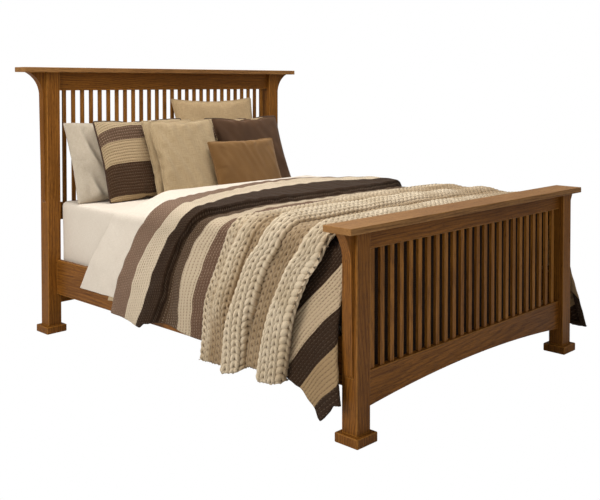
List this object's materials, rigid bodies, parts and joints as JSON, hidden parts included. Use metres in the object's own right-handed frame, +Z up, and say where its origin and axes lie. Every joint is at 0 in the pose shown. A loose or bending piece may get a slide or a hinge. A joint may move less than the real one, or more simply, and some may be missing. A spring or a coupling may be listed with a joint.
{
  "type": "mission bed",
  "caption": "Slatted mission style bed with flared corbels, overhanging caps and an arched foot rail, made up with quilt, knit throw and pillows.",
  "frame": {"origin": "on the floor, under the middle of the whole piece", "axes": "+X to the right as seen from the foot, +Y from the foot to the head, +Z up"},
  "size_m": [1.9664, 2.2794, 1.426],
  "materials": {
    "oak": "rubbed satin stain",
    "plain_wood": "planed, unfinished",
    "zinc_steel": "zinc plated",
    "brass": "turned",
    "foot_plastic": "moulded",
    "ticking": "woven ticking",
    "sheet_cotton": "plain weave cotton",
    "quilt_cotton": "stitched rows, broad stripes",
    "throw_wool": "chunky knit",
    "cream_linen": "linen weave",
    "tan_linen": "linen weave",
    "gold_velvet": "short pile velvet",
    "brown_velvet": "short pile velvet"
  },
  "bodies": {
    "root": {"head_post_left": "oak", "head_post_right": "oak", "head_cap": "oak", "head_top_rail": "oak", "head_middle_rail": "oak", "head_bottom_rail": "oak", "head_slats": "oak", "head_corbel_left": "oak", "head_corbel_right": "oak", "head_block_left": "oak", "head_block_right": "oak", "foot_post_left": "oak", "foot_post_right": "oak", "foot_cap": "oak", "foot_top_rail": "oak", "foot_bottom_rail": "oak", "foot_slats": "oak", "foot_corbel_left": "oak", "foot_corbel_right": "oak", "foot_block_left": "oak", "foot_block_right": "oak", "side_rail_left": "oak", "side_rail_right": "oak", "cleat_left": "plain_wood", "cleat_right": "plain_wood", "cross_slat_1": "plain_wood", "cross_slat_2": "plain_wood", "cross_slat_3": "plain_wood", "cross_slat_4": "plain_wood", "cross_slat_5": "plain_wood", "centre_leg_1": "plain_wood", "centre_leg_2": "plain_wood", "joint_dowels": "plain_wood", "cleat_screws": "zinc_steel", "cross_slat_screws": "zinc_steel", "rail_hook_plates": "zinc_steel", "post_hook_plates": "zinc_steel", "hook_plate_screws": "zinc_steel", "leg_screws": "zinc_steel", "block_screws": "zinc_steel", "leveller_inserts": "brass", "spring_base": "ticking", "mattress": "ticking", "fitted_sheet": "sheet_cotton", "flat_sheet": "sheet_cotton", "quilt": "quilt_cotton", "knit_throw": "throw_wool", "sleeping_pillow": "sheet_cotton", "tan_euro_pillow": "tan_linen", "striped_sham_left": "quilt_cotton", "striped_sham_right": "quilt_cotton", "cream_back_pillow": "cream_linen", "cream_square_pillow": "cream_linen", "brown_pillow": "brown_velvet", "lumbar_pillow": "gold_velvet"},
    "leveller_pad_1": {"leveller_pad_1": "foot_plastic"},
    "leveller_stem_1": {"leveller_stem_1": "zinc_steel"},
    "leveller_pad_2": {"leveller_pad_2": "foot_plastic"},
    "leveller_stem_2": {"leveller_stem_2": "zinc_steel"}
  },
  "joints": [
    {"name": "leveller_slide_1", "type": "slide", "parent": "root", "child": "leveller_pad_1", "axis": [0, 0, 1], "range_m": [-0.01, 0.012]},
    {"name": "leveller_turn_1", "type": "hinge", "parent": "leveller_pad_1", "child": "leveller_stem_1", "pos_m": [0, -0.45875, 0.03], "axis": [0, 0, 1], "range_deg": [-2879, 2399]},
    {"name": "leveller_slide_2", "type": "slide", "parent": "root", "child": "leveller_pad_2", "axis": [0, 0, 1], "range_m": [-0.01, 0.012]},
    {"name": "leveller_turn_2", "type": "hinge", "parent": "leveller_pad_2", "child": "leveller_stem_2", "pos_m": [0, 0.46275, 0.03], "axis": [0, 0, 1], "range_deg": [-2879, 2399]}
  ],
  "couplings": [
    {"joint": "leveller_slide_1", "follows": "leveller_turn_1", "m_per_rad": -0.00023873},
    {"joint": "leveller_slide_2", "follows": "leveller_turn_2", "m_per_rad": -0.00023873}
  ]
}
